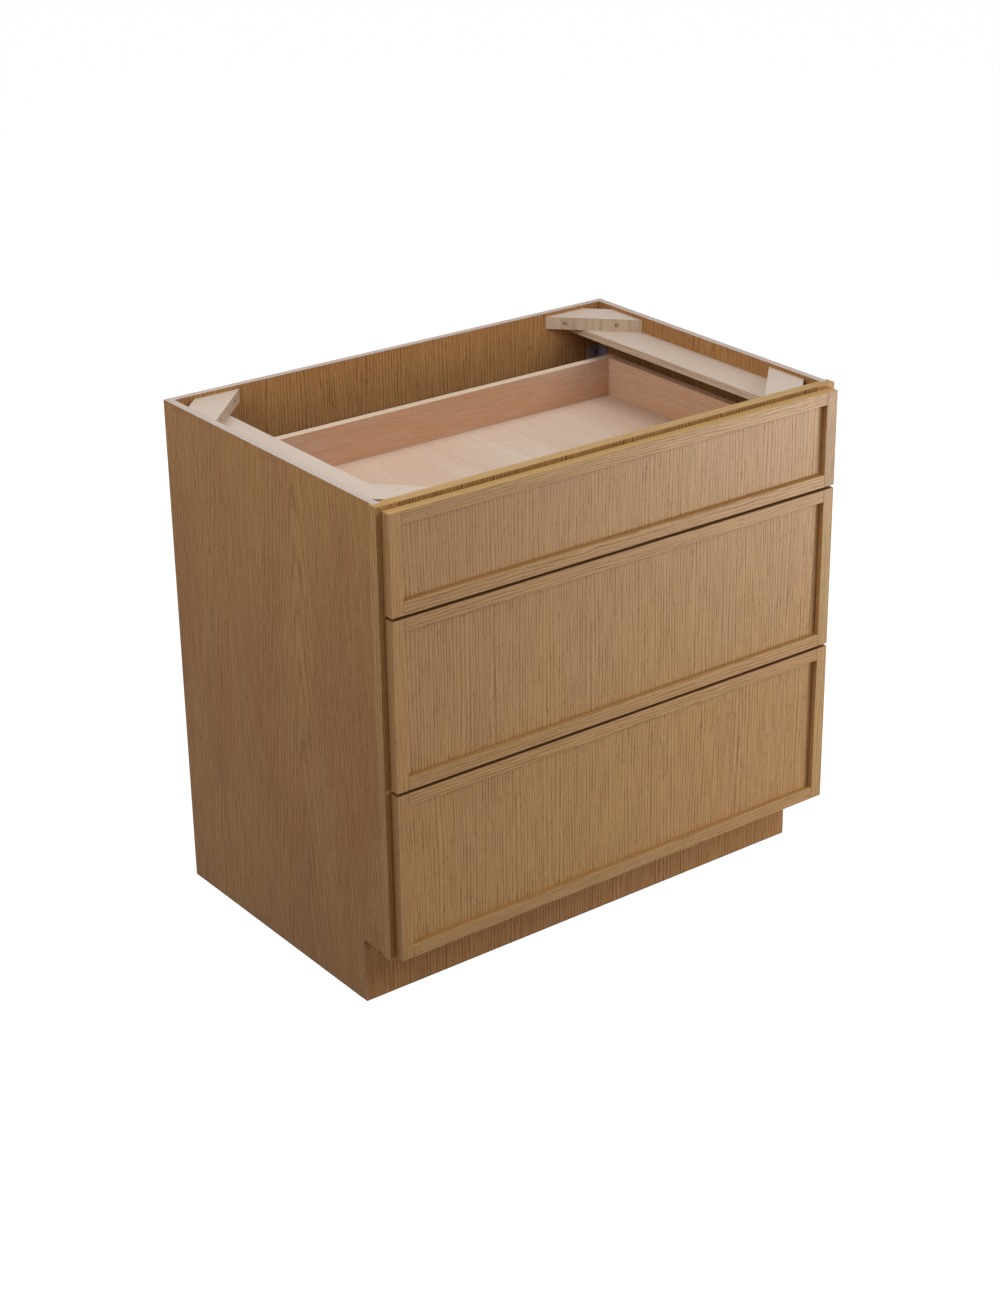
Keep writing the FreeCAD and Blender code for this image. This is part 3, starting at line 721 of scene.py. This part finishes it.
# The carcass's screws are painted dark brown, as shade in their holes; those in the corner blocks
# are paler.
blocks_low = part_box("corner_block_rear_left")[0].z
screw_steel_in_painted_shade = plated_steel(
    "screw steel in painted shade", "z, face y", paint(112, 96, 84), paint(88, 74, 62), 0.40, metal=0.15,
    above=(blocks_low, paint(186, 166, 146)))
clip_plastic = moulded_plastic("clip plastic", paint(92, 92, 96), paint(78, 78, 82))
lever_plastic = moulded_plastic("lever plastic", paint(226, 118, 40), paint(208, 100, 30))

dress("cabinet_runners_left", runner_steel)
dress("cabinet_runners_right", runner_steel)
dress("rear_brackets", bracket_steel)
dress("carcass_screws", screw_steel_in_painted_shade)
for drawer in drawers:
    dress(drawer + "_drawer_runners", runner_steel)
    dress(drawer + "_middle_runners", runner_steel)
    dress(drawer + "_front_screws", screw_steel)
    dress(drawer + "_locking_clips", clip_plastic)
    dress(drawer + "_lever_left", lever_plastic)
    dress(drawer + "_lever_right", lever_plastic)
print("every node has a material:", all(node.data.materials[0] for node in nodes.values()))

# %% [markdown]
# ## Eased edges
#
# A sharp CAD edge catches no light. Real boards have their edges sanded round by half a
# millimetre, so most boards get a Weld modifier, which joins their loose triangles, and a Bevel
# modifier on their sharp edges. The solids themselves aren't touched. The side panels, the corner
# blocks and the box fronts have small drilled holes and keep their edges, because the bevel would
# fold the long thin triangles between the holes.

# %% Eased edges on the boards
EDGE_RADIUS = {
    "front_frame": 0.0008, "front_panel": 0.0004, "stile": 0.0006, "rail": 0.0006,
    "box_side": 0.0005, "box_back": 0.0005, "box_bottom": 0.0005,
    "back_panel": 0.0003, "bottom_panel": 0.0003, "toe": 0.0003}
SAME_POINT = 0.00001
SHARP = math.radians(40)


def ease_edges(node_name, radius):
    """Rounds a board's sharp edges with modifiers."""
    weld = nodes[node_name].modifiers.new("join triangles", "WELD")
    weld.merge_threshold = SAME_POINT
    bevel = nodes[node_name].modifiers.new("eased edges", "BEVEL")
    bevel.width = radius
    bevel.segments = 2
    bevel.limit_method = "ANGLE"
    bevel.angle_limit = SHARP
    bevel.harden_normals = True


eased = []
for node_name in nodes:
    radius = next((size for word, size in EDGE_RADIUS.items() if word in node_name), None)
    if radius:
        ease_edges(node_name, radius)
        eased.append(node_name)
print("boards with eased edges:", len(eased))

# %% [markdown]
# ## Bumpers
#
# A small clear disc sits behind each corner of a front, so that it closes without a knock. It is
# a flat dome of soft plastic, thinner than the gap behind the front. A short spun profile would
# do; a low cone with its upper rim bevelled round is just as quick.

# %% Bumpers behind the fronts
BUMPER_RADIUS, BUMPER_TOP_RADIUS = 0.004, 0.0036
FROM_SIDE, FROM_END = 0.011, 0.012
GAP_FILLED = 0.8

bumper_material, tree, shader = start_material("clear bumper")
shader.inputs["Base Color"].default_value = paint(236, 238, 240)
shader.inputs["Transmission Weight"].default_value = 0.8
bumper_texture = add(tree, "TexNoise", Vector=object_place(tree), Scale=700.0).outputs[0]
tree.links.new(plus(tree, 0.15, times(tree, bumper_texture, 0.1)), shader.inputs["Roughness"])


def add_bumper(shape, seat, middle, height):
    """A low cone on the front's back, with its upper rim bevelled round."""
    disc = bmesh.ops.create_cone(
        shape, cap_ends=True, segments=24, radius1=BUMPER_RADIUS, radius2=BUMPER_TOP_RADIUS,
        depth=height, matrix=seat)
    rim = {edge for vert in disc["verts"] for edge in vert.link_edges
           if min(end.co.y for end in edge.verts) > middle}
    bmesh.ops.bevel(shape, geom=list(rim), offset=0.6 * height, segments=3, profile=0.5,
                    affect="EDGES", material=-1)


def in_fixed_order(shape):
    """The shape's points and faces sorted by place, since a bevel's own order varies by run."""
    def place(point):
        return tuple(round(value, 6) for value in point)

    points = sorted((tuple(vert.co) for vert in shape.verts), key=place)
    numbers = {place(point): number for number, point in enumerate(points)}
    faces = []
    for face in shape.faces:
        corners = [numbers[place(vert.co)] for vert in face.verts]
        first = corners.index(min(corners))
        faces.append(corners[first:] + corners[:first])
    return points, sorted(faces)


def bumpers(drawer):
    """Four thin domes on the back of one front, near its corners."""
    low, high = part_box(drawer + "_front_frame")
    height = GAP_FILLED * (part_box("stile_right")[0].y - high.y)
    middle = high.y + height / 2
    upright = Matrix.Rotation(math.radians(-90), 4, "X")
    shape = bmesh.new()
    for x in (low.x + FROM_SIDE, high.x - FROM_SIDE):
        for z in (low.z + FROM_END, high.z - FROM_END):
            add_bumper(shape, Matrix.Translation((x, middle, z)) @ upright, middle, height)
    bmesh.ops.recalc_face_normals(shape, faces=shape.faces)
    points, faces = in_fixed_order(shape)
    shape.free()
    mesh = bpy.data.meshes.new(drawer + "_bumpers")
    mesh.from_pydata(points, [], faces)
    piece = bpy.data.objects.new(drawer + "_bumpers", mesh)
    bpy.context.scene.collection.objects.link(piece)
    mesh.materials.append(bumper_material)
    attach(piece, drawer + "_drawer")
    return piece


for drawer in drawers:
    print(bumpers(drawer).name, "made")

# %% [markdown]
# ## The studio
#
# The picture has a plain white ground and soft light from all round, a little stronger from the
# front right. The floor looks white to the camera and in reflections, and keeps a faint shadow;
# for the light that bounces back it is only grey, so that the lower part of the cabinet stays
# darker. From below it is clear, so the underside can be looked at too.


# %% Studio: floor
def seen_directly(tree):
    """1 for rays from the camera, in a mirror or through glass, 0 for the light that bounces."""
    rays = add(tree, "LightPath").outputs
    mirrored = maths(tree, "MAXIMUM", rays["Is Glossy Ray"], rays["Is Transmission Ray"])
    return maths(tree, "MAXIMUM", rays["Is Camera Ray"], mirrored)


WHITE = (1.0, 1.0, 1.0, 1.0)
FLOOR_RADIUS = 14.0
FLOOR_BOUNCE = (0.12, 0.115, 0.11, 1.0)
SHADOW_GREY = (0.18, 0.18, 0.18, 1.0)
FLOOR_GLOW = 0.965

floor_shape = bmesh.new()
bmesh.ops.create_circle(floor_shape, cap_ends=True, segments=96, radius=FLOOR_RADIUS)
floor_mesh = bpy.data.meshes.new("studio_floor")
floor_shape.to_mesh(floor_mesh)
floor_shape.free()
floor = bpy.data.objects.new("studio_floor", floor_mesh)
bpy.context.scene.collection.objects.link(floor)
floor_material, tree, shader = start_material("studio floor")
floor_mesh.materials.append(floor_material)
shader.inputs["Base Color"].default_value = FLOOR_BOUNCE
shader.inputs["Roughness"].default_value = 1.0
shader.inputs["Specular IOR Level"].default_value = 0.0
shadow_catcher = add(tree, "BsdfDiffuse", Color=SHADOW_GREY).outputs[0]
glow = add(tree, "Emission", Color=WHITE, Strength=FLOOR_GLOW).outputs[0]
seen_floor = add(tree, "AddShader", i0=shadow_catcher, i1=glow).outputs[0]
floor_mix = add(tree, "MixShader", i0=seen_directly(tree), i1=shader.outputs[0], i2=seen_floor)
from_below = add(tree, "NewGeometry").outputs["Backfacing"]
clear = add(tree, "BsdfTransparent").outputs[0]
one_way = add(tree, "MixShader", i0=from_below, i1=floor_mix.outputs[0], i2=clear).outputs[0]
tree.links.new(one_way, tree.nodes["Material Output"].inputs["Surface"])
print("floor ready")

# %% Studio: surrounding light
world = bpy.data.worlds.new("studio")
bpy.context.scene.world = world
world.use_nodes = True
tree = world.node_tree
ambient = add(tree, "Background", Color=(1.0, 0.985, 0.965, 1.0), Strength=0.15).outputs[0]
backdrop = add(tree, "Background", Color=WHITE, Strength=1.0).outputs[0]
mixed = add(tree, "MixShader", i0=seen_directly(tree), i1=ambient, i2=backdrop).outputs[0]
tree.links.new(mixed, tree.nodes["World Output"].inputs["Surface"])
print("surrounding light ready")

# %% Studio: soft boxes
WARM_WHITE = (1.0, 0.995, 0.985)
# Each lamp's name, its place, the point it looks at, its width, its height and its power.
LAMPS = (
    ("front_right_low", (2.0, -1.9, 0.30), (0.2, -0.3, 0.6), 0.9, 0.5, 31.5),
    ("front_right_high", (1.2, -1.9, 1.9), (0.1, -0.3, 0.6), 1.0, 1.0, 13.5),
    ("front_high", (0.0, -2.6, 2.2), (0.0, -0.3, 0.6), 1.2, 1.2, 11.0),
    ("left_high", (-1.7, -0.1, 2.3), (-0.45, 0.0, 0.5), 1.4, 1.4, 22.5),
    ("left_low", (-2.6, 0.2, 1.2), (-0.45, 0.0, 0.5), 1.6, 1.2, 3.0),
    ("overhead", (0.6, 0.4, 4.2), (0.1, 0.0, 0.8), 2.4, 2.4, 60.0),
    ("right_side", (3.4, 0.4, 0.8), (0.4, 0.0, 0.4), 1.6, 1.2, 12.0),
    ("rear", (0.3, 3.4, 0.9), (0.0, 0.3, 0.4), 2.4, 1.4, 15.0),
)


def softbox(name, place, target, width, height, power):
    """A rectangular lamp that looks at a point."""
    data = bpy.data.lights.new(name, "AREA")
    data.shape = "RECTANGLE"
    data.size = width
    data.size_y = height
    data.energy = power
    data.color = WARM_WHITE
    lamp = bpy.data.objects.new(name, data)
    lamp.location = place
    line_of_sight = Vector(target) - Vector(place)
    lamp.rotation_euler = line_of_sight.to_track_quat("-Z", "Y").to_euler()
    bpy.context.scene.collection.objects.link(lamp)


for lamp in LAMPS:
    softbox(*lamp)
bpy.context.scene.view_settings.view_transform = "Standard"
print("studio ready:", len(LAMPS), "lamps")
